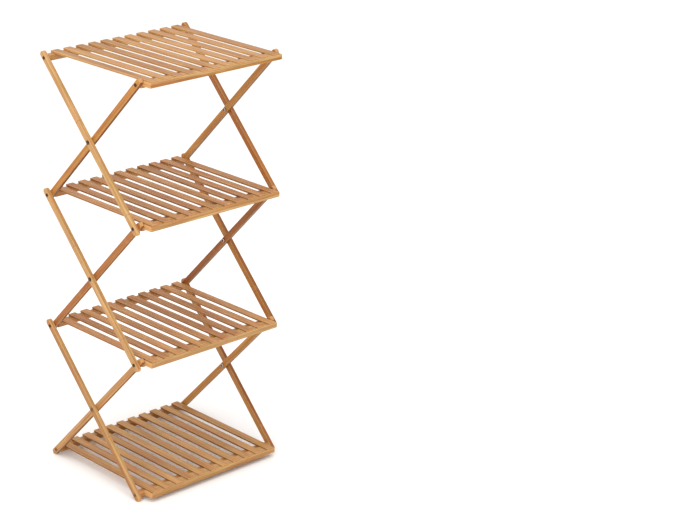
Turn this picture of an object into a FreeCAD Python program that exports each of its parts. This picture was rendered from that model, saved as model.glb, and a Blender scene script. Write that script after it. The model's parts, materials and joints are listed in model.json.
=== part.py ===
import FreeCAD, Part
import os
import Sketcher
from FreeCAD import Placement, Rotation, Vector

# Folding four-tier slatted shelf of bamboo strips on two scissor frames.
#
# X runs from left to right, Y from front to back and Z up. The origin is on the floor, in the
# middle of the open shelf's plan. Three crossing stages of legs join four rows of pivots; each
# row carries one slatted tier. An outer leg rises from the front to the back of its stage and an
# inner leg from the back to the front. All sizes are in millimetres.

DIMENSIONS = {
    # scissor frames
    "pivot_depth": 300.0,
    "level_rise": 312.3,
    "frame_width": 412.4,
    "foot_drop": 13.0,
    # legs
    "leg_width": 14.0,
    "leg_thick": 9.65,
    "leg_overhang": 9.6,
    "leg_round": 1.2,
    # cross bars
    "bar_depth": 16.0,
    "bar_height": 14.0,
    "bar_round": 2.5,
    # slatted tiers, heights above their own pivot row
    "slat_top": 11.5,
    "slat_count": 11,
    "slat_width": 19.7,
    "slat_thick": 4.7,
    "slat_pitch": 34.25,
    "slat_front": 33.0,
    "slat_back": 8.5,
    "slat_round": 1.0,
    "batten_front": 36.0,
    "slat_proud": 2.2,
    "batten_height": 11.7,
    "batten_round": 1.3,
    "batten_corner": 3.0,
    "batten_side_gap": 1.0,
    "notch_gap": 0.15,
    # corner screws
    "screw_shank": 2.0,
    "screw_grip": 22.0,
    "screw_head": 3.8,
    "screw_dome": 2.3,
    "screw_rim": 0.9,
    "screw_socket": 1.5,
    # bolts and nuts at the crossings
    "bolt_shank": 2.5,
    "bolt_head": 4.8,
    "bolt_dome": 2.8,
    "bolt_rim": 1.1,
    "bolt_socket": 1.9,
    "bolt_stub": 0.8,
    "nut_corner": 4.6,
    "nut_height": 3.6,
    "socket_depth": 1.2,
    # brads
    "brad_shank": 0.7,
    "brad_recess": 0.5,
    "brad_bite": 3.2,
    # clearances
    "running_gap": 0.3,
    "head_gap": 0.15,
    "pin_fit": 0.08,
    "thread_fit": 0.05,
    "loose_fit": 0.3,
}

TIERS = ["bottom", "lower", "upper", "top"]
STAGES = ["bottom", "middle", "top"]
SIDES = {"left": -1, "right": 1}

# Derived sizes, written as spreadsheet expressions.
ANGLE = "atan(dims.level_rise / dims.pivot_depth)"
LEG_SPAN = "sqrt(dims.pivot_depth ^ 2 + dims.level_rise ^ 2)"
SHIFT = f"((dims.batten_front - dims.leg_overhang * cos({ANGLE}) - dims.leg_width / 2) / 2)"
FRONT = f"({SHIFT} - dims.pivot_depth / 2)"
BACK = f"({SHIFT} + dims.pivot_depth / 2)"
OUTER_FACE = "(dims.frame_width / 2)"
OUTER_INSIDE = "(dims.frame_width / 2 - dims.leg_thick)"
INNER_FACE = "(dims.frame_width / 2 - dims.leg_thick - dims.running_gap)"
INNER_INSIDE = "(dims.frame_width / 2 - 2 * dims.leg_thick - dims.running_gap)"
SLAT_UNDER = "(dims.slat_top - dims.slat_thick)"
FIRST_SLAT = "(-(dims.slat_count - 1) / 2 * dims.slat_pitch)"
BATTEN_DEPTH = "(dims.batten_front - dims.bar_depth / 2 - 2 * dims.running_gap)"
BATTEN_MIDDLE = f"({FRONT} - dims.batten_front + {BATTEN_DEPTH} / 2)"
BATTEN_UNDER = "(dims.slat_top - dims.slat_proud - dims.batten_height)"
NOTCH_MIDDLE = f"({FRONT} - dims.slat_front - dims.notch_gap + {BATTEN_DEPTH} / 2)"
BACK_BRADS = f"({BACK} - dims.bar_depth / 4)"
SLAT_LENGTH = "(dims.pivot_depth + dims.slat_front + dims.slat_back)"
SLAT_MIDDLE = f"({SHIFT} + (dims.slat_back - dims.slat_front) / 2)"
PIVOT = {"front": FRONT, "back": BACK}

doc = FreeCAD.newDocument("folding_shelf")
dims = doc.addObject("Spreadsheet::Sheet", "dims")
for row, (word, value) in enumerate(DIMENSIONS.items(), start=1):
    dims.set(f"A{row}", word)
    dims.set(f"B{row}", str(value))
    dims.setAlias(f"B{row}", word)
doc.recompute()

nodes = []


def number(expression):
    """The present value of an expression, to seed a sketch close to its solution."""
    value = dims.evalExpression(expression)
    return float(getattr(value, "Value", value))


def level(tier):
    """Height of a pivot row above the floor; tier 0 is the bottom one."""
    return f"(dims.foot_drop + {tier} * dims.level_rise)"


def new_body(label):
    body = doc.addObject("PartDesign::Body", label)
    body.Label = label
    nodes.append(body)
    return body


def plane(body, role):
    return next(item for item in body.Origin.OriginFeatures if item.Role == role)


def place(body, x="0", y="0", z="0"):
    for axis, expression in zip("xyz", (x, y, z)):
        body.setExpression(f".Placement.Base.{axis}", expression)


def turn(body, sense):
    """Tilt a body about X by the legs' angle; sense is +1 or -1."""
    body.Placement = Placement(Vector(), Rotation(Vector(sense, 0, 0), number(ANGLE)))
    body.setExpression(".Placement.Rotation.Angle", ANGLE)


def new_sketch(body, role, name, x="0", y="0", lift="0"):
    """A sketch on one of the body's origin planes, moved in that plane and along its normal."""
    sketch = body.newObject("Sketcher::SketchObject", f"{body.Name}_{name}")
    sketch.AttachmentSupport = [(plane(body, role), "")]
    sketch.MapMode = "FlatFace"
    for axis, expression in zip("xyz", (x, y, lift)):
        sketch.setExpression(f".AttachmentOffset.Base.{axis}", expression)
    return sketch


def bind(sketch, constraint, expression):
    index = sketch.addConstraint(constraint)
    sketch.setExpression(f"Constraints[{index}]", expression)


def draw_rectangle(sketch, width, height):
    """A rectangle centred on the sketch's origin."""
    half_w = number(width) / 2
    half_h = number(height) / 2
    corners = [
        Vector(-half_w, -half_h, 0),
        Vector(half_w, -half_h, 0),
        Vector(half_w, half_h, 0),
        Vector(-half_w, half_h, 0),
    ]
    lines = [Part.LineSegment(corners[i], corners[(i + 1) % 4]) for i in range(4)]
    sketch.addGeometry(lines, False)
    for i in range(4):
        sketch.addConstraint(Sketcher.Constraint("Coincident", i, 2, (i + 1) % 4, 1))
    for i, direction in enumerate(("Horizontal", "Vertical", "Horizontal", "Vertical")):
        sketch.addConstraint(Sketcher.Constraint(direction, i))
    sketch.addConstraint(Sketcher.Constraint("Symmetric", 0, 1, 1, 2, -1, 1))
    bind(sketch, Sketcher.Constraint("DistanceX", 0, 1, 0, 2, 2 * half_w), width)
    bind(sketch, Sketcher.Constraint("DistanceY", 1, 1, 1, 2, 2 * half_h), height)


def draw_circle(sketch, radius):
    """A circle centred on the sketch's origin."""
    index = sketch.addGeometry(Part.Circle(Vector(), Vector(0, 0, 1), number(radius)), False)
    sketch.addConstraint(Sketcher.Constraint("Coincident", index, 3, -1, 1))
    bind(sketch, Sketcher.Constraint("Radius", index, number(radius)), radius)


def draw_hexagon(sketch, corner):
    """A hexagon on a construction circle, with one corner on the sketch's X axis."""
    radius = number(corner)
    points = [Rotation(Vector(0, 0, 1), 60 * i).multVec(Vector(radius, 0, 0)) for i in range(6)]
    lines = [Part.LineSegment(points[i], points[(i + 1) % 6]) for i in range(6)]
    sketch.addGeometry(lines, False)
    guide = sketch.addGeometry(Part.Circle(Vector(), Vector(0, 0, 1), radius), True)
    sketch.addConstraint(Sketcher.Constraint("Coincident", guide, 3, -1, 1))
    for i in range(6):
        sketch.addConstraint(Sketcher.Constraint("Coincident", i, 2, (i + 1) % 6, 1))
        sketch.addConstraint(Sketcher.Constraint("PointOnObject", i, 2, guide))
    for i in range(1, 6):
        sketch.addConstraint(Sketcher.Constraint("Equal", 0, i))
    sketch.addConstraint(Sketcher.Constraint("PointOnObject", 0, 1, -1))
    bind(sketch, Sketcher.Constraint("Radius", guide, radius), corner)


def draw_leg(sketch):
    """A strip with round ends, along the sketch's X axis and centred on its origin."""
    reach = number(f"{LEG_SPAN} / 2 + dims.leg_overhang")
    radius = number("dims.leg_width / 2")
    top = Part.LineSegment(Vector(reach, radius, 0), Vector(-reach, radius, 0))
    left = Part.Arc(Vector(-reach, radius, 0), Vector(-reach - radius, 0, 0), Vector(-reach, -radius, 0))
    bottom = Part.LineSegment(Vector(-reach, -radius, 0), Vector(reach, -radius, 0))
    right = Part.Arc(Vector(reach, -radius, 0), Vector(reach + radius, 0, 0), Vector(reach, radius, 0))
    sketch.addGeometry([top, left, bottom, right], False)
    for i in range(4):
        sketch.addConstraint(Sketcher.Constraint("Tangent", i, 2, (i + 1) % 4, 1))
    sketch.addConstraint(Sketcher.Constraint("Equal", 1, 3))
    sketch.addConstraint(Sketcher.Constraint("PointOnObject", 3, 3, -1))
    sketch.addConstraint(Sketcher.Constraint("Symmetric", 1, 3, 3, 3, -1, 1))
    bind(sketch, Sketcher.Constraint("Radius", 1, radius), "dims.leg_width / 2")
    span = Sketcher.Constraint("DistanceX", 1, 3, 3, 3, 2 * reach)
    bind(sketch, span, f"{LEG_SPAN} + 2 * dims.leg_overhang")


def draw_headed_pin(sketch, points):
    """Half outline of a domed-head pin above the X axis, from its tip to the top of its dome.

    points are five (x, radius) pairs of expressions from the tip to the rim of the head, then
    the x of the dome's top. The tip and the dome's top lie on the axis.
    """
    outline, dome = points[:-1], points[-1]
    at = [Vector(number(x), number(radius), 0) for x, radius in outline]
    peak = Vector(number(dome), 0, 0)
    rim = at[-1]
    centre_x = (peak.x ** 2 - rim.x ** 2 - rim.y ** 2) / (2 * (peak.x - rim.x))
    centre = Vector(centre_x, 0, 0)
    middle = centre + ((peak - centre) + (rim - centre)).normalize() * (peak.x - centre_x)
    lines = [Part.LineSegment(at[i], at[i + 1]) for i in range(4)]
    sketch.addGeometry(lines + [Part.Arc(peak, middle, rim), Part.LineSegment(peak, at[0])], False)
    for i in range(3):
        sketch.addConstraint(Sketcher.Constraint("Coincident", i, 2, i + 1, 1))
    sketch.addConstraint(Sketcher.Constraint("Coincident", 3, 2, 4, 2))
    sketch.addConstraint(Sketcher.Constraint("Coincident", 4, 1, 5, 1))
    sketch.addConstraint(Sketcher.Constraint("Coincident", 5, 2, 0, 1))
    sketch.addConstraint(Sketcher.Constraint("PointOnObject", 4, 3, -1))
    sketch.addConstraint(Sketcher.Constraint("PointOnObject", 0, 1, -1))
    sketch.addConstraint(Sketcher.Constraint("PointOnObject", 4, 1, -1))
    bind(sketch, Sketcher.Constraint("DistanceX", -1, 1, 0, 1, at[0].x), outline[0][0])
    bind(sketch, Sketcher.Constraint("DistanceX", -1, 1, 4, 1, peak.x), dome)
    for i in range(4):
        x, radius = outline[i + 1]
        bind(sketch, Sketcher.Constraint("DistanceX", -1, 1, i, 2, at[i + 1].x), x)
        bind(sketch, Sketcher.Constraint("DistanceY", -1, 1, i, 2, at[i + 1].y), radius)


def volume(body):
    return body.Shape.Volume if not body.Shape.isNull() else 0.0


def pad(body, sketch, length, down=False):
    """Add material along the sketch's normal, or against it."""
    feature = body.newObject("PartDesign::Pad", f"{sketch.Name}_pad")
    feature.Profile = sketch
    feature.Reversed = down
    feature.setExpression("Length", length)
    doc.recompute()
    return feature


def pocket(body, sketch, length=None, up=False):
    """Cut against the sketch's normal, or along it; no length means right through."""
    doc.recompute()
    before = volume(body)
    feature = body.newObject("PartDesign::Pocket", f"{sketch.Name}_pocket")
    feature.Profile = sketch
    feature.Reversed = up
    if length is None:
        feature.Type = "ThroughAll"
    else:
        feature.setExpression("Length", length)
    doc.recompute()
    if volume(body) > before - 0.1:
        raise RuntimeError(f"{feature.Name} cuts nothing")
    return feature


def round_edges(body, feature, radius, wanted):
    """Fillet the feature's edges that the test picks out."""
    names = [f"Edge{i}" for i, edge in enumerate(feature.Shape.Edges, start=1) if wanted(edge)]
    rounding = body.newObject("PartDesign::Fillet", f"{feature.Name}_round")
    rounding.Base = (feature, names)
    rounding.setExpression("Radius", radius)
    doc.recompute()
    return rounding


def bevel_edges(body, feature, size, wanted):
    names = [f"Edge{i}" for i, edge in enumerate(feature.Shape.Edges, start=1) if wanted(edge)]
    bevel = body.newObject("PartDesign::Chamfer", f"{feature.Name}_bevel")
    bevel.Base = (feature, names)
    bevel.setExpression("Size", size)
    doc.recompute()
    return bevel


def repeat_slats(body, features=None):
    """Repeat features along X, or the whole body if none are named, once for each slat."""
    pattern = body.newObject("PartDesign::LinearPattern", f"{body.Name}_row")
    if features is None:
        pattern.TransformMode = "Whole shape"
    else:
        pattern.Originals = features
    pattern.Direction = (plane(body, "X_Axis"), [""])
    pattern.setExpression("Length", "(dims.slat_count - 1) * dims.slat_pitch")
    pattern.setExpression("Occurrences", "dims.slat_count")
    body.Tip = pattern
    doc.recompute()


def mirror_features(body, features):
    mirrored = body.newObject("PartDesign::Mirrored", f"{body.Name}_mirror")
    mirrored.Originals = features
    mirrored.MirrorPlane = (plane(body, "YZ_Plane"), [""])
    body.Tip = mirrored
    doc.recompute()


def mirror_whole(body):
    """Make the left-hand twin of everything in the body."""
    mirrored = body.newObject("PartDesign::Mirrored", f"{body.Name}_twin")
    mirrored.TransformMode = "Whole shape"
    mirrored.MirrorPlane = (plane(body, "YZ_Plane"), [""])
    body.Tip = mirrored
    doc.recompute()


def along_x(edge):
    return edge.BoundBox.YLength < 0.001 and edge.BoundBox.ZLength < 0.001


def on_side_face(edge):
    return edge.BoundBox.XLength < 0.001


def is_front_upright(edge):
    upright = on_side_face(edge) and edge.BoundBox.YLength < 0.001
    return upright and edge.BoundBox.YMax < number(BATTEN_MIDDLE)


def is_straight(edge):
    return edge.Curve.TypeId == "Part::GeomLine"


def bar_underside(where):
    drop = " - dims.running_gap" if where == "front" else ""
    return f"({SLAT_UNDER} - dims.bar_height{drop})"


def bar_end(tier, where):
    """X of a bar's end. Where only an outer leg meets the pivot, the bar reaches that leg."""
    if (tier, where) in ((0, "front"), (3, "back")):
        return f"({OUTER_INSIDE} - dims.running_gap)"
    if where == "back":
        return f"({INNER_INSIDE} - dims.running_gap)"
    return INNER_INSIDE


def screwed_face(tier, where):
    """X of the face that a corner screw's head bears on."""
    inner_only = (tier, where) in ((3, "front"), (0, "back"))
    return INNER_FACE if inner_only else OUTER_FACE


def make_leg(stage, family, side):
    """One strip of a crossing. The foot ends of the bottom stage are cut level with the floor."""
    body = new_body(f"{family}_leg_{STAGES[stage]}_{side}")
    outer = family == "outer"
    if SIDES[side] > 0:
        near = OUTER_INSIDE if outer else INNER_INSIDE
    else:
        near = f"-{OUTER_FACE}" if outer else f"-{INNER_FACE}"
    turn(body, 1 if outer else -1)
    place(body, near, SHIFT, f"{level(stage)} + dims.level_rise / 2")

    outline = new_sketch(body, "YZ_Plane", "outline")
    draw_leg(outline)
    strip = pad(body, outline, "dims.leg_thick")
    round_edges(body, strip, "dims.leg_round", on_side_face)

    pin = "dims.screw_shank + dims.pin_fit"
    if outer:
        low_end, high_end, middle = pin, pin, "dims.bolt_shank + dims.thread_fit"
    else:
        low_end = pin if stage == 0 else "dims.screw_shank + dims.loose_fit"
        high_end, middle = "dims.screw_shank + dims.thread_fit", "dims.bolt_shank + dims.pin_fit"
    low_sense = -1 if outer else 1
    holes = {"low": (low_sense, low_end), "high": (-low_sense, high_end), "middle": (0, middle)}
    for name, (sense, radius) in holes.items():
        hole = new_sketch(body, "YZ_Plane", name, f"{sense} * {LEG_SPAN} / 2")
        draw_circle(hole, radius)
        pocket(body, hole, up=True)

    if stage == 0:
        cut_height = "(dims.leg_width / 2)"
        cut_middle = f"(dims.foot_drop + {cut_height} / 2)"
        along = f"{low_sense} * ({LEG_SPAN} / 2 + {cut_middle} * sin({ANGLE}))"
        across = f"-{cut_middle} * cos({ANGLE})"
        foot = new_sketch(body, "YZ_Plane", "foot")
        foot.AttachmentOffset = Placement(Vector(), Rotation(Vector(0, 0, low_sense), number(ANGLE)))
        foot.setExpression(".AttachmentOffset.Base.x", along)
        foot.setExpression(".AttachmentOffset.Base.y", across)
        foot.setExpression(".AttachmentOffset.Rotation.Angle", ANGLE)
        draw_rectangle(foot, "2 * dims.leg_width", cut_height)
        pocket(body, foot, up=True)


def make_slats(tier):
    """The strips of one tier, each with a blind hole for its front and its back brad."""
    body = new_body(f"slats_{TIERS[tier]}")
    place(body, z=level(tier))
    outline = new_sketch(body, "XY_Plane", "outline", FIRST_SLAT, SLAT_MIDDLE, SLAT_UNDER)
    draw_rectangle(outline, "dims.slat_width", SLAT_LENGTH)
    strip = pad(body, outline, "dims.slat_thick")
    round_edges(body, strip, "dims.slat_round", lambda edge: True)
    for name, row in {"front": BATTEN_MIDDLE, "back": BACK_BRADS}.items():
        hole = new_sketch(body, "XY_Plane", name, FIRST_SLAT, row, SLAT_UNDER)
        draw_circle(hole, "dims.brad_shank + dims.thread_fit")
        pocket(body, hole, "dims.brad_bite + dims.thread_fit", up=True)
    repeat_slats(body)


def drill_brad(body, row, underside):
    """A hole up through the piece, under the first slat."""
    hole = new_sketch(body, "XY_Plane", "brad", FIRST_SLAT, row, underside)
    draw_circle(hole, "dims.brad_shank + dims.thread_fit")
    return pocket(body, hole, up=True)


def make_batten(tier):
    """The strip that holds the slats' front ends in notches and drops in front of the front bar."""
    body = new_body(f"front_batten_{TIERS[tier]}")
    place(body, z=level(tier))
    outline = new_sketch(body, "XY_Plane", "outline", y=BATTEN_MIDDLE, lift=BATTEN_UNDER)
    draw_rectangle(outline, f"2 * ({INNER_INSIDE} - dims.batten_side_gap)", BATTEN_DEPTH)
    strip = pad(body, outline, "dims.batten_height")
    strip = round_edges(body, strip, "dims.batten_corner", is_front_upright)
    round_edges(body, strip, "dims.batten_round", along_x)
    notch = new_sketch(body, "XY_Plane", "notch", FIRST_SLAT, NOTCH_MIDDLE, SLAT_UNDER)
    draw_rectangle(notch, "dims.slat_width + 2 * dims.notch_gap", BATTEN_DEPTH)
    notched = pocket(body, notch, up=True)
    repeat_slats(body, [notched, drill_brad(body, BATTEN_MIDDLE, BATTEN_UNDER)])


def make_bar(tier, where):
    """A cross bar between the frames, with a screw hole in each end on the pivot axis."""
    body = new_body(f"{where}_bar_{TIERS[tier]}")
    place(body, z=level(tier))
    underside = bar_underside(where)
    outline = new_sketch(body, "XY_Plane", "outline", y=PIVOT[where], lift=underside)
    draw_rectangle(outline, f"2 * {bar_end(tier, where)}", "dims.bar_depth")
    stick = pad(body, outline, "dims.bar_height")
    round_edges(body, stick, "dims.bar_round", along_x)
    hole = new_sketch(body, "YZ_Plane", "screw", x=PIVOT[where], lift=bar_end(tier, where))
    draw_circle(hole, "dims.screw_shank + dims.thread_fit")
    drilled = pocket(body, hole, "dims.screw_grip + dims.running_gap")
    mirror_features(body, [drilled])
    if where == "back":
        repeat_slats(body, [drill_brad(body, BACK_BRADS, underside)])


def make_headed_pins(label, y, z, face, tip, size):
    """A pair of domed, socket-headed screws or bolts, one on each side."""
    body = new_body(label)
    place(body, y=y, z=z)
    shank = f"dims.{size}_shank"
    rim = f"{face} + dims.{size}_rim"
    dome = f"{face} + dims.{size}_dome"
    profile = new_sketch(body, "XY_Plane", "profile")
    draw_headed_pin(profile, [(tip, "0"), (f"{tip} + {shank} / 2", shank), (face, shank),
                              (face, f"dims.{size}_head"), (rim, f"dims.{size}_head"), dome])
    turned = body.newObject("PartDesign::Revolution", f"{body.Name}_turned")
    turned.Profile = profile
    turned.ReferenceAxis = (profile, ["H_Axis"])
    doc.recompute()
    socket = new_sketch(body, "YZ_Plane", "socket", lift=dome)
    draw_hexagon(socket, f"dims.{size}_socket")
    pocket(body, socket, "dims.socket_depth")
    mirror_whole(body)


def make_corner_screws(tier, where):
    face = f"({screwed_face(tier, where)} + dims.head_gap)"
    tip = f"({bar_end(tier, where)} - dims.screw_grip)"
    make_headed_pins(f"{where}_screws_{TIERS[tier]}", PIVOT[where], level(tier), face, tip, "screw")


def make_cross_bolts(stage):
    tip = f"({INNER_INSIDE} - dims.head_gap - dims.nut_height - dims.bolt_stub)"
    height = f"{level(stage)} + dims.level_rise / 2"
    make_headed_pins(f"cross_bolts_{STAGES[stage]}", SHIFT, height, OUTER_FACE, tip, "bolt")


def make_cross_nuts(stage):
    body = new_body(f"cross_nuts_{STAGES[stage]}")
    place(body, y=SHIFT, z=f"{level(stage)} + dims.level_rise / 2")
    inner_side = f"({INNER_INSIDE} - dims.head_gap)"
    outline = new_sketch(body, "YZ_Plane", "outline", lift=inner_side)
    draw_hexagon(outline, "dims.nut_corner")
    draw_circle(outline, "dims.bolt_shank + dims.thread_fit")
    blank = pad(body, outline, "dims.nut_height", down=True)
    shown = number(f"{inner_side} - dims.nut_height / 2")
    bevel_edges(body, blank, "dims.nut_height / 8",
                lambda edge: is_straight(edge) and on_side_face(edge) and edge.BoundBox.XMax < shown)
    mirror_whole(body)


def make_brads(tier):
    """The brads of one tier, driven up through the batten and the back bar into the slats."""
    body = new_body(f"slat_brads_{TIERS[tier]}")
    place(body, z=level(tier))
    rows = {
        "front": (BATTEN_MIDDLE, f"({SLAT_UNDER} - {BATTEN_UNDER})"),
        "back": (BACK_BRADS, "dims.bar_height"),
    }
    brads = []
    for name, (row, depth) in rows.items():
        low = f"({SLAT_UNDER} - {depth} + dims.brad_recess)"
        outline = new_sketch(body, "XY_Plane", name, FIRST_SLAT, row, low)
        draw_circle(outline, "dims.brad_shank")
        brads.append(pad(body, outline, f"{depth} - dims.brad_recess + dims.brad_bite"))
    repeat_slats(body, brads)


for stage in range(len(STAGES)):
    for side in SIDES:
        make_leg(stage, "outer", side)
        make_leg(stage, "inner", side)
    make_cross_bolts(stage)
    make_cross_nuts(stage)
for tier in range(len(TIERS)):
    make_slats(tier)
    make_batten(tier)
    make_brads(tier)
    for where in ("front", "back"):
        make_bar(tier, where)
        make_corner_screws(tier, where)

doc.recompute()
for item in doc.Objects:
    if "Invalid" in item.State or "Error" in item.State:
        raise RuntimeError(f"{item.Name} is {item.State}")
for body in nodes:
    if body.Shape.isNull() or not body.Shape.isValid():
        raise RuntimeError(f"{body.Label} has no valid shape")

os.makedirs("parts", exist_ok=True)
for body in nodes:
    body.Shape.exportStep(f"parts/{body.Label}.step")
    print(body.Label, len(body.Shape.Solids), round(body.Shape.Volume))
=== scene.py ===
import json
import math
import random
from collections import namedtuple

import bpy
from mathutils import Matrix, Vector


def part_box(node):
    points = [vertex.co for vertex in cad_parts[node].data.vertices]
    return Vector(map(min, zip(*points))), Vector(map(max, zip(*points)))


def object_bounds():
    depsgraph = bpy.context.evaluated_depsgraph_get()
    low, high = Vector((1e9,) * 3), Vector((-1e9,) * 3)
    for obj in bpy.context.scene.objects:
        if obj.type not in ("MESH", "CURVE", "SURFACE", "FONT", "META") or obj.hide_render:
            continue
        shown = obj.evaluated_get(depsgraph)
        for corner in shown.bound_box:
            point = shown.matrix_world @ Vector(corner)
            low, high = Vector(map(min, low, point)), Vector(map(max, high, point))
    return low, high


# Looks of the folding slatted shelf: lacquered bamboo strips, plated screws, bolts and nuts.
# Every shape comes from the frame. This script gives each piece its material, and sets up the
# floor, the lights and the camera. Lengths are in metres, and those inside a material in millimetres.

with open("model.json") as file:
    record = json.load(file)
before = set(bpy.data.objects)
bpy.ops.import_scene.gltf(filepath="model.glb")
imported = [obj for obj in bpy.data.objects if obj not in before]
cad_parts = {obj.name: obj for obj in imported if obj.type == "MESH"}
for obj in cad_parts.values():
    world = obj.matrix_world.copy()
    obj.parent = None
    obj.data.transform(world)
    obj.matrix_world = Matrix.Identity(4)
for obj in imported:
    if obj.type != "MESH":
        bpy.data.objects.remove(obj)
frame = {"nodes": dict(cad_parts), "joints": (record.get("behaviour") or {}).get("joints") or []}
cad_low, cad_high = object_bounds()
nodes = frame["nodes"]
random.seed(41)

TIERS = ("bottom", "lower", "upper", "top")
STAGES = ("bottom", "middle", "top")
SLAT_COUNT = 11
MM = 0.001
FLOOR_GAP = 0.0002
X, Y, Z = Vector((1, 0, 0)), Vector((0, 1, 0)), Vector((0, 0, 1))
joint_places = {joint["name"]: Vector(joint["pos_m"]) for joint in frame["joints"]}

# Tones of the bamboo: (light, dark) in linear RGB
STRAW = ((0.67, 0.420, 0.180), (0.46, 0.250, 0.088))
GOLD = ((0.61, 0.340, 0.120), (0.41, 0.190, 0.052))
TAN = ((0.54, 0.282, 0.104), (0.33, 0.145, 0.042))
CLAY = ((0.60, 0.300, 0.104), (0.37, 0.148, 0.040))
AMBER = ((0.60, 0.292, 0.064), (0.39, 0.155, 0.026))
RUST = ((0.43, 0.158, 0.034), (0.24, 0.070, 0.012))
# Painted shade: the dark tone of faces that lie in shadow
PAINTED_SHADE = ((0.33, 0.135, 0.036), (0.18, 0.060, 0.013))
CUT_END = (0.62, 0.320, 0.120)
WORN = (0.70, 0.46, 0.22)
FIBRE_BROWN = (0.22, 0.085, 0.022)
KNOT_BROWN = (0.17, 0.066, 0.018)

# Tones of the metal, with the painted shade of the bolts' hex sockets
# Painted shade in the hex sockets of the cross bolts
PAINTED_SOCKET_SHADE = (0.030, 0.018, 0.012)
BRONZE = (0.085, 0.042, 0.024)
RUBBED = (0.24, 0.135, 0.070)
GLINT = (0.25, 0.165, 0.105)
ZINC = (0.52, 0.50, 0.47)
GRIME = (0.10, 0.07, 0.05)

# Tones of each leg's outward and inward faces, by stage from the bottom
LEG_TONES = {
    "outer": ((TAN, GOLD), (STRAW, AMBER), (STRAW, RUST)),
    "inner": ((TAN, AMBER), (RUST, RUST), (AMBER, AMBER)),
}
# Tones of the legs' narrow faces, as painted light and shade: a painted highlight on the outer legs
# at the left, and painted shade on the outer legs at the right and on all the inner legs
LEG_EDGE_LIGHT_AND_SHADE = {
    ("outer", "left"): STRAW,
    ("outer", "right"): RUST,
    ("inner", "left"): PAINTED_SHADE,
    ("inner", "right"): PAINTED_SHADE,
}
# Tones of each tier's slat tops, slat sides, and the upper and lower layers of its batten. The slat
# sides are painted shade on the three tiers under another tier, and a lighter, lit tone on the top tier
TIER_TONES = {
    "bottom": (GOLD, PAINTED_SHADE, STRAW, GOLD),
    "lower": (CLAY, PAINTED_SHADE, STRAW, STRAW),
    "upper": (CLAY, PAINTED_SHADE, GOLD, STRAW),
    "top": (TAN, GOLD, STRAW, AMBER),
}

# A noise pattern in the bamboo: its size along the grain and across it, the kind of noise, and
# the noise values between which the feature fades in
Pattern = namedtuple("Pattern", "length width detail rough warp start end", defaults=(0.0, 0.0, 1.0))
CLOUD = Pattern(150.0, 24.0, 2.0, 0.5, 0.0, 0.36, 0.64)
STREAK = Pattern(170.0, 4.4, 2.0, 0.5, 0.4, 0.36, 0.64)
FIBRE = Pattern(60.0, 1.9, 2.0, 0.6, 0.3, 0.36, 0.66)
BUNDLE = Pattern(15.0, 0.38, 1.0, 0.5, 0.0, 0.56, 0.70)
CAST = Pattern(110.0, 6.0, 1.0, 0.5)
WOBBLE = Pattern(60.0, 5.0, 1.0, 0.5)
CHAFE = Pattern(9.0, 2.2, 3.0, 0.6)

# How far apart the strips' runs of grain lie in the noise: along it, across it, and from piece to piece
RUN_APART, ACROSS_APART, PIECE_APART = 3000.0, 700.0, 400.0
KNOT_SPACING = 236.0
KNOT_WOBBLE = 7.0
# Distances between which a mark fades out: from a knot, from an arris and from a glue line
KNOT_BAND, KNOT_LINE = (1.2, 5.5), (0.4, 2.6)
ARRIS_WEAR, CHAFE_DEPTH = (0.9, 2.1), 1.5
GLUE_EDGE = (0.2, 0.7)
LAYER_BLEND = 0.1
# Vessel dots in the cut ends: cells to a millimetre along, across and deep, and the dots' edge
VESSEL_CELLS = (0.02, 1.25, 1.25)
VESSEL_EDGE = (0.20, 0.34)
# Limits of the slant, as a cosine, between which one face gives way to the next
FACE_TURN = (0.55, 0.85)
BACK_TURN = (-0.75, -0.35)
SIDE_TURN = (0.3, 0.6)

# Share of the dark tone: from the clouds, from the streaks, and the range from strip to strip
CLOUD_SHARE, STREAK_SHARE, STRIP_SHARE = 0.30, 0.50, (-0.14, 0.40)
# How strongly the colour of each feature shows
FIBRE_STAIN, BUNDLE_STAIN, BAND_STAIN, LINE_STAIN = 0.36, 0.30, 0.22, 0.34
WORN_STAIN, CUT_STAIN, VESSEL_STAIN, GLUE_STAIN = 0.40, 0.85, 0.62, 0.45
ROSY, ROSY_STAIN, ROSY_LIMITS = (1.0, 0.83, 0.80), 0.75, (0.53, 0.66)
GREENISH, GREENISH_STAIN, GREENISH_LIMITS = (0.95, 1.0, 0.78), 0.6, (0.34, 0.46)
# Roughness of the lacquer, and what open fibres, worn arrises and cut ends add to it
LACQUER_ROUGH, FIBRE_ROUGH, WORN_ROUGH, CUT_ROUGH = 0.42, 0.07, 0.12, 0.16
# Relief of the knots and of the grain: the features' heights, as shares of a full step, and the
# full step in metres with the strength of its shading
BAND_HEIGHT, LINE_HEIGHT, KNOT_RELIEF = 1.6, -0.8, (0.00025, 0.6)
FIBRE_HEIGHT, BUNDLE_HEIGHT, GRAIN_RELIEF = -0.5, -0.8, (0.00006, 0.7)

# Plating: how fast and how raggedly one ring gives way to the next, and the fine turning marks
RING_BLEND, RING_RAGGED = 0.6, 0.5
GRIME_LIMITS, GRIME_STAIN = (0.45, 0.75), 0.5
TURNING_DENSITY, TURNING_RELIEF = 7.0, (0.00003, 0.5)
HAZE_ROUGH = 0.25
# Radii where the tone changes: on the screws, twice on the bolts, where the painted socket shade and
# then the glint end, and on the nuts
SOCKET, DIMPLE, DOME, BORE = 1.2, 1.5, 2.3, 2.9


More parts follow.
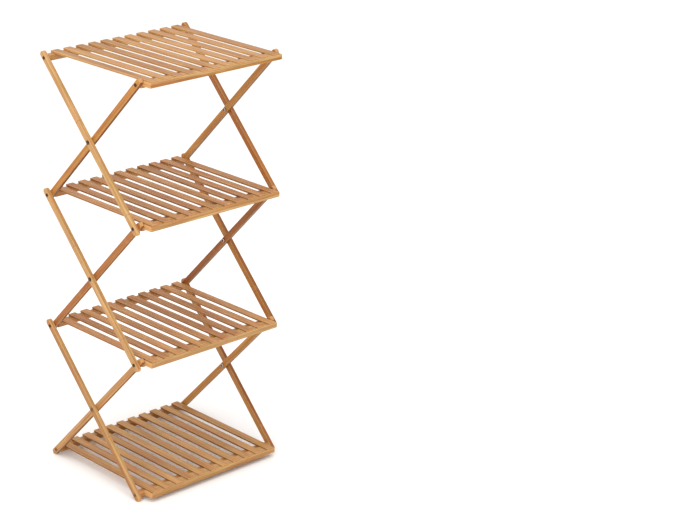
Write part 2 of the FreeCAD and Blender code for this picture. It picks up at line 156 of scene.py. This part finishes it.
class Graph:
    """One material's node tree, with short ways to add and join its nodes."""

    def __init__(self, name):
        self.material = bpy.data.materials.new(name)
        self.material.use_nodes = True
        self.tree = self.material.node_tree
        self.shader = self.tree.nodes["Principled BSDF"]
        self.coordinates = self.node("ShaderNodeTexCoord")

    def node(self, kind, **settings):
        made = self.tree.nodes.new(kind)
        for key, value in settings.items():
            setattr(made, key, value)
        return made

    def join(self, value, socket):
        """Link an output to a socket, or set the socket to a constant."""
        if isinstance(value, bpy.types.NodeSocket):
            self.tree.links.new(value, socket)
        else:
            socket.default_value = value

    def math(self, operation, first, second=0.0, clamp=False):
        made = self.node("ShaderNodeMath", operation=operation, use_clamp=clamp)
        self.join(first, made.inputs[0])
        self.join(second, made.inputs[1])
        return made.outputs[0]

    def vector(self, operation, first, second):
        made = self.node("ShaderNodeVectorMath", operation=operation)
        self.join(first, made.inputs[0])
        self.join(second, made.inputs[1])
        return made.outputs["Value" if operation == "DOT_PRODUCT" else "Vector"]

    def split(self, vector):
        made = self.node("ShaderNodeSeparateXYZ")
        self.join(vector, made.inputs[0])
        return made.outputs

    def combine(self, *values):
        made = self.node("ShaderNodeCombineXYZ")
        for value, socket in zip(values, made.inputs):
            self.join(value, socket)
        return made.outputs[0]

    def noise(self, vector, detail=2.0, rough=0.5, warp=0.0):
        made = self.node("ShaderNodeTexNoise")
        self.join(vector, made.inputs["Vector"])
        made.inputs["Scale"].default_value = 1.0
        made.inputs["Detail"].default_value = detail
        made.inputs["Roughness"].default_value = rough
        made.inputs["Distortion"].default_value = warp
        return made.outputs["Fac"]

    def step(self, value, start, end, low=0.0, high=1.0):
        """A smooth step from low at start to high at end."""
        made = self.node("ShaderNodeMapRange", interpolation_type="SMOOTHSTEP")
        for socket, given in zip(made.inputs, (value, start, end, low, high)):
            self.join(given, socket)
        return made.outputs[0]

    def mix(self, share, first, second, blend="MIX"):
        made = self.node("ShaderNodeMix", data_type="RGBA", blend_type=blend)
        made.clamp_factor = True
        self.join(share, made.inputs[0])
        for colour, socket in ((first, made.inputs[6]), (second, made.inputs[7])):
            self.join(colour if isinstance(colour, bpy.types.NodeSocket) else (*colour, 1.0), socket)
        return made.outputs[2]

    def stain(self, mask, strength, under, over):
        """Lay one colour over another, as strongly as given, where the mask is."""
        return self.mix(self.math("MULTIPLY", mask, strength), under, over)

    def bump(self, height, distance, strength, after=None):
        made = self.node("ShaderNodeBump")
        made.inputs["Strength"].default_value = strength
        made.inputs["Distance"].default_value = distance
        self.join(height, made.inputs["Height"])
        if after is not None:
            self.join(after, made.inputs["Normal"])
        return made.outputs[0]


def middle_of(graph, first, second, third):
    """The middle one of three values."""
    low = graph.math("MINIMUM", first, second)
    high = graph.math("MAXIMUM", first, second)
    return graph.math("MAXIMUM", low, graph.math("MINIMUM", high, third))


def inset(graph, value, half):
    """How far a coordinate is inside its limit on either side."""
    return graph.math("SUBTRACT", half, graph.math("ABSOLUTE", value))


class Grain:
    """Where a point lies in a piece of bamboo, and the patterns that run along its grain.

    axes are the directions of the grain, the width and the thickness. pitch is given where the
    piece is a row of strips side by side, and each strip then has its own grain.
    """

    def __init__(self, graph, centre, axes, pitch):
        g = self.graph = graph
        seed = random.uniform(0.0, PIECE_APART)
        local = g.node("ShaderNodeMapping", vector_type="TEXTURE")
        g.join(g.coordinates.outputs["Object"], local.inputs["Vector"])
        local.inputs["Location"].default_value = centre
        local.inputs["Rotation"].default_value = Matrix(axes).transposed().to_euler()
        local.inputs["Scale"].default_value = (MM, MM, MM)
        self.along, self.across, self.deep = g.split(local.outputs[0])
        strip_seed = seed
        if pitch:
            index = g.math("ROUND", g.math("DIVIDE", self.across, pitch))
            self.across = g.math("SUBTRACT", self.across, g.math("MULTIPLY", index, pitch))
            strip_seed = g.math("ADD", index, seed)
        strip = g.node("ShaderNodeTexWhiteNoise", noise_dimensions="1D")
        g.join(strip_seed, strip.inputs["W"])
        run, spread, self.darkness = g.split(strip.outputs["Color"])
        self.shifted = g.math("ADD", self.along, g.math("MULTIPLY", run, RUN_APART))
        spread = g.math("ADD", self.across, g.math("MULTIPLY", spread, ACROSS_APART))
        self.place = g.combine(self.shifted, spread, self.deep)
        normal = g.coordinates.outputs["Normal"]
        self.facing = g.vector("DOT_PRODUCT", normal, axes[2])
        self.face_on = g.math("ABSOLUTE", self.facing)
        end_on = g.math("ABSOLUTE", g.vector("DOT_PRODUCT", normal, axes[0]))
        self.cut = g.step(end_on, *FACE_TURN)

    def noise(self, pattern):
        """The pattern's noise, drawn out along the grain."""
        finer = (1 / pattern.length, 1 / pattern.width, 1 / pattern.width)
        scaled = self.graph.vector("MULTIPLY", self.place, finer)
        return self.graph.noise(scaled, pattern.detail, pattern.rough, pattern.warp)

    def feature(self, pattern):
        """How far a feature has faded in, from 0 to 1."""
        return self.graph.step(self.noise(pattern), pattern.start, pattern.end)


def strip_tones(grain, tones, side_light_and_shade_tones, back_tones, ply):
    """Clouds and streaks between the light and the dark tone of each face."""
    g = grain.graph
    clouds = g.math("MULTIPLY", grain.feature(CLOUD), CLOUD_SHARE)
    streaks = g.math("MULTIPLY", grain.feature(STREAK), STREAK_SHARE)
    share = g.math("ADD", clouds, streaks)
    share = g.math("ADD", share, g.step(grain.darkness, 0.0, 1.0, *STRIP_SHARE), clamp=True)
    colour = g.mix(share, *tones)
    # The narrow faces take their tones of painted light and shade
    if side_light_and_shade_tones:
        colour = g.mix(g.step(grain.face_on, *FACE_TURN), g.mix(share, *side_light_and_shade_tones), colour)
    if back_tones:
        colour = g.mix(g.step(grain.facing, *BACK_TURN), g.mix(share, *back_tones), colour)
    if ply:
        seam, layer = ply
        above = g.step(grain.deep, seam - LAYER_BLEND, seam + LAYER_BLEND)
        colour = g.mix(above, g.mix(share, *layer), colour)
    return colour


def cast_streaks(grain, colour):
    """Some streaks are rosier and some are greener."""
    g = grain.graph
    cast = grain.noise(CAST)
    colour = g.mix(g.step(cast, *ROSY_LIMITS, 0.0, ROSY_STAIN), colour, ROSY, "MULTIPLY")
    greenish = g.step(cast, *GREENISH_LIMITS, GREENISH_STAIN, 0.0)
    return g.mix(greenish, colour, GREENISH, "MULTIPLY")


def knots(grain):
    """The knots where the stem's walls met: a raised band, and the thin line in its middle."""
    g = grain.graph
    wobble = g.math("MULTIPLY", grain.noise(WOBBLE), KNOT_WOBBLE)
    run = g.math("PINGPONG", g.math("ADD", grain.shifted, wobble), KNOT_SPACING / 2)
    return g.step(run, *KNOT_BAND, 1.0, 0.0), g.step(run, *KNOT_LINE, 1.0, 0.0)


def worn_arrises(grain, half, round_ends):
    """The arrises, where the lacquer has rubbed thin."""
    g = grain.graph
    long_half, wide_half, deep_half = half
    from_face = inset(g, grain.deep, deep_half)
    from_end = inset(g, grain.along, long_half)
    if round_ends:
        past = g.math("MAXIMUM", g.math("SUBTRACT", wide_half, from_end), 0.0)
        squares = g.math("ADD", g.math("POWER", past, 2.0), g.math("POWER", grain.across, 2.0))
        from_rim = g.math("SUBTRACT", wide_half, g.math("SQRT", squares))
        from_arris = g.math("MAXIMUM", from_rim, from_face)
    else:
        from_arris = middle_of(g, inset(g, grain.across, wide_half), from_face, from_end)
    ragged = g.math("MULTIPLY", grain.noise(CHAFE), CHAFE_DEPTH)
    return g.step(g.math("ADD", from_arris, ragged), *ARRIS_WEAR, 1.0, 0.0)


def cut_end_colour(grain):
    """Cut ends show the vessel bundles as dots."""
    g = grain.graph
    dots = g.node("ShaderNodeTexVoronoi", feature="F1")
    dots.inputs["Scale"].default_value = 1.0
    g.join(g.vector("MULTIPLY", grain.place, VESSEL_CELLS), dots.inputs["Vector"])
    dot = g.step(dots.outputs["Distance"], *VESSEL_EDGE, 1.0, 0.0)
    return g.stain(dot, VESSEL_STAIN, CUT_END, KNOT_BROWN)


def glue_line(grain, seam):
    """The glue line between two layers, on the narrow faces only."""
    g = grain.graph
    from_seam = g.math("ABSOLUTE", g.math("SUBTRACT", grain.deep, seam))
    near = g.step(from_seam, *GLUE_EDGE, 1.0, 0.0)
    return g.math("MULTIPLY", near, g.step(grain.face_on, *SIDE_TURN, 1.0, 0.0))


def bamboo(name, centre, axes, half, tones, side_light_and_shade_tones=None, back_tones=None, pitch=None, ply=None,
           round_ends=False):
    """Lacquered bamboo for one piece.

    axes and pitch are as for Grain, and half is the piece's half size along each axis. The side tones
    are for the narrow faces, painted lighter or darker by how light falls on them, and back_tones are
    for the face turned against the thickness. ply is the height of a glue line in the thickness, from
    the middle, with the tones of the layer under it.
    """
    g = Graph(name)
    grain = Grain(g, centre, axes, pitch)
    fibre = grain.feature(FIBRE)
    bundle = grain.feature(BUNDLE)
    band, line = knots(grain)
    worn = worn_arrises(grain, half, round_ends)

    colour = strip_tones(grain, tones, side_light_and_shade_tones, back_tones, ply)
    colour = g.stain(fibre, FIBRE_STAIN, colour, FIBRE_BROWN)
    colour = g.stain(bundle, BUNDLE_STAIN, colour, FIBRE_BROWN)
    colour = cast_streaks(grain, colour)
    colour = g.stain(band, BAND_STAIN, colour, CUT_END)
    colour = g.stain(line, LINE_STAIN, colour, KNOT_BROWN)
    colour = g.stain(worn, WORN_STAIN, colour, WORN)
    colour = g.stain(grain.cut, CUT_STAIN, colour, cut_end_colour(grain))

    raised = g.math("MULTIPLY", band, BAND_HEIGHT)
    height = g.math("ADD", raised, g.math("MULTIPLY", line, LINE_HEIGHT))
    furrows = g.math("MULTIPLY", fibre, FIBRE_HEIGHT)
    relief = g.math("ADD", furrows, g.math("MULTIPLY", bundle, BUNDLE_HEIGHT))
    if ply:
        glue = glue_line(grain, ply[0])
        colour = g.stain(glue, GLUE_STAIN, colour, KNOT_BROWN)
        relief = g.math("SUBTRACT", relief, glue)
    g.join(colour, g.shader.inputs["Base Color"])

    open_grain = g.math("MULTIPLY", g.math("ADD", fibre, bundle), FIBRE_ROUGH)
    rough = g.math("ADD", LACQUER_ROUGH, open_grain)
    rough = g.math("ADD", rough, g.math("MULTIPLY", worn, WORN_ROUGH))
    rough = g.math("ADD", rough, g.math("MULTIPLY", grain.cut, CUT_ROUGH))
    g.join(rough, g.shader.inputs["Roughness"])
    g.shader.inputs["Specular IOR Level"].default_value = 0.24
    g.shader.inputs["Coat Weight"].default_value = 0.05
    g.shader.inputs["Coat Roughness"].default_value = 0.3
    knotted = g.bump(height, *KNOT_RELIEF)
    g.join(g.bump(relief, *GRAIN_RELIEF, knotted), g.shader.inputs["Normal"])
    return g.material


def plated(name, centre, rings, rim, rough):
    """Plated steel. rings are (radius, tone) round an axis along X, the inner ones first."""
    g = Graph(name)
    local = g.vector("SUBTRACT", g.coordinates.outputs["Object"], centre)
    place = g.vector("MULTIPLY", local, (1 / MM, 1 / MM, 1 / MM))
    x, y, z = g.split(place)
    radius = g.math("SQRT", g.math("ADD", g.math("POWER", y, 2.0), g.math("POWER", z, 2.0)))
    haze = g.noise(place, 4.0, 0.65)
    turned = g.noise(g.combine(g.math("MULTIPLY", radius, TURNING_DENSITY), x, 0.0), 2.0, 0.5)
    ragged = g.math("ADD", radius, g.math("MULTIPLY", haze, RING_RAGGED))
    colour = rim
    for ring_radius, tone in reversed(rings):
        colour = g.mix(g.step(ragged, ring_radius, ring_radius + RING_BLEND), tone, colour)
    colour = g.stain(g.step(haze, *GRIME_LIMITS), GRIME_STAIN, colour, GRIME)
    g.join(colour, g.shader.inputs["Base Color"])
    g.shader.inputs["Metallic"].default_value = 1.0
    g.join(g.math("ADD", rough, g.math("MULTIPLY", haze, HAZE_ROUGH)), g.shader.inputs["Roughness"])
    g.join(g.bump(turned, *TURNING_RELIEF), g.shader.inputs["Normal"])
    return g.material


def give(node, material):
    """Put one material on every face of a CAD node."""
    for slot in nodes[node].material_slots:
        slot.material = material


def middle_and_half(node):
    """A node's centre in metres, and its half size in millimetres."""
    low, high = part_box(node)
    return (low + high) / 2, (high - low) / 2 / MM


def rise_of(family):
    """Direction up a leg. Outer legs rise to the back of their stage, inner legs to the front."""
    rise = (joint_places["crossing_middle"] - joint_places["front_pivot_lower"]).normalized()
    if family == "inner":
        rise.y = -rise.y
    return rise


def crossing_of(stage):
    """The point where the legs of a stage cross."""
    return joint_places["fold" if stage == "bottom" else f"crossing_{stage}"]


def reach(node, middle, direction):
    """How far a node goes from a point in one direction, in millimetres."""
    return max((v.co - middle).dot(direction) for v in nodes[node].data.vertices) / MM


def dress_legs():
    """Each leg gets its own run of grain, turned with the leg, a redder face inwards, and narrow faces
    in painted light and shade.
    """
    for family in LEG_TONES:
        along = rise_of(family)
        for stage, (tones, back_tones) in zip(STAGES, LEG_TONES[family]):
            for side, outward in (("left", -X), ("right", X)):
                node = f"{family}_leg_{stage}_{side}"
                middle, size = middle_and_half(node)
                middle.yz = crossing_of(stage).yz
                across = outward.cross(along)
                half = (reach(node, middle, along), reach(node, middle, across), size.x)
                axes = (along, across, outward)
                give(node, bamboo(f"bamboo_{node}", middle, axes, half, tones, LEG_EDGE_LIGHT_AND_SHADE[family, side],
                                  back_tones, round_ends=True))


def dress_tiers():
    """Slats with the grain front to back; battens and bars with the grain from side to side."""
    for tier, (slat_top, slat_side_light_and_shade, upper_layer, lower_layer) in TIER_TONES.items():
        node = f"slats_{tier}"
        middle, half = middle_and_half(node)
        pitch, slat_half = slat_row(node)
        # The slat sides get painted shade under a tier above, and a lighter lit tone on the top tier
        # right-handed axes: grain along Y, width along X, thickness downwards
        give(node, bamboo(f"bamboo_{node}", middle, (Y, X, -Z), (half.y, slat_half, half.z),
                          slat_top, slat_side_light_and_shade, pitch=pitch))
        for piece, tones, ply in (("front_batten", upper_layer, (0.0, lower_layer)),
                                  ("front_bar", TAN, None), ("back_bar", TAN, None)):
            node = f"{piece}_{tier}"
            middle, half = middle_and_half(node)
            give(node, bamboo(f"bamboo_{node}", middle, (X, Y, Z), half, tones, ply=ply))


def slat_row(node):
    """Pitch of the slats and half the width of one, in millimetres, from the edges of the row."""
    edges = sorted({round(v.co.x / MM, 2) for v in nodes[node].data.vertices})
    left, right = edges[0], edges[-1]
    # nothing of the second slat lies within 0.8 of a slat's share of the row
    first_slat_limit = left + 0.8 * (right - left) / SLAT_COUNT
    width = max(x for x in edges if x < first_slat_limit) - left
    pitch = (right - left - width) / (SLAT_COUNT - 1)
    return pitch, width / 2


def dress_metal():
    """Bronzed screws and bolts, and zinc nuts, with painted shade in the bolts' sockets. The lowest
    ones have rubbed to a lighter brown.
    """
    for stage in STAGES:
        rim = RUBBED if stage == "bottom" else BRONZE
        # The bolts' heads: painted shade in the socket, then a glint, then the rim
        for family, rings, edge in (("cross_bolts", ((DIMPLE, PAINTED_SOCKET_SHADE), (DOME, GLINT)), rim),
                                    ("cross_nuts", ((BORE, BRONZE),), ZINC)):
            node = f"{family}_{stage}"
            give(node, plated(f"steel_{node}", middle_and_half(node)[0], rings, edge, 0.16))
    for tier in TIERS:
        rim = RUBBED if tier == "bottom" else BRONZE
        for family, rings, edge in (("front_screws", ((SOCKET, GLINT),), rim),
                                    ("back_screws", ((SOCKET, GLINT),), rim),
                                    ("slat_brads", (), ZINC)):
            node = f"{family}_{tier}"
            give(node, plated(f"steel_{node}", middle_and_half(node)[0], rings, edge, 0.2))


def make_floor():
    """A wide matt floor, just under the feet."""
    far = 12.0
    mesh = bpy.data.meshes.new("floor")
    corners = [(-far, -far, 0), (far, -far, 0), (far, far, 0), (-far, far, 0)]
    mesh.from_pydata(corners, [], [(0, 1, 2, 3)])
    floor = bpy.data.objects.new("floor", mesh)
    floor.location.z = cad_low.z - FLOOR_GAP
    bpy.context.scene.collection.objects.link(floor)
    g = Graph("floor_paint")
    g.shader.inputs["Base Color"].default_value = (0.96, 0.96, 0.955, 1.0)
    g.shader.inputs["Roughness"].default_value = 0.9
    g.shader.inputs["Specular IOR Level"].default_value = 0.1
    mesh.materials.append(g.material)


def make_light(name, place, target, size, power, colour):
    """A square lamp, turned to its target. The power is in watts."""
    light = bpy.data.lights.new(name, "AREA")
    light.shape = "SQUARE"
    light.size = size
    light.energy = power
    light.color = colour
    lamp = bpy.data.objects.new(name, light)
    lamp.location = place
    lamp.rotation_euler = (Vector(target) - Vector(place)).to_track_quat("-Z", "Y").to_euler()
    bpy.context.scene.collection.objects.link(lamp)


def make_lights():
    """A bright even sky, a large soft lamp high above and a lower one to the front left."""
    world = bpy.data.worlds.new("studio")
    bpy.context.scene.world = world
    world.use_nodes = True
    world.node_tree.nodes["Background"].inputs["Color"].default_value = (1.0, 1.0, 1.0, 1.0)
    world.node_tree.nodes["Background"].inputs["Strength"].default_value = 1.04
    target = (cad_low + cad_high) / 2
    make_light("overhead", (-0.6, -0.8, 4.6), target, 2.6, 58.0, (1.0, 0.99, 0.97))
    make_light("side", (-3.2, -1.6, 1.7), target, 1.8, 40.0, (1.0, 0.985, 0.96))


def make_camera():
    """The camera stands to the front left of the shelf and looks a little down on it."""
    azimuth, drop = math.radians(40.37), math.radians(20.57)
    data = bpy.data.cameras.new("camera")
    data.sensor_width = 36.0
    data.lens = 105.95
    data.shift_x = 0.2525
    data.shift_y = 0.0169
    camera = bpy.data.objects.new("camera", data)
    camera.location = (-2.7996, -3.3213, 2.0765)
    camera.rotation_euler = (math.radians(90) - drop, 0, -azimuth)
    bpy.context.scene.collection.objects.link(camera)
    bpy.context.scene.camera = camera


bpy.context.scene.view_settings.view_transform = "Standard"
make_camera()
make_lights()
make_floor()
dress_legs()
dress_tiers()
dress_metal()
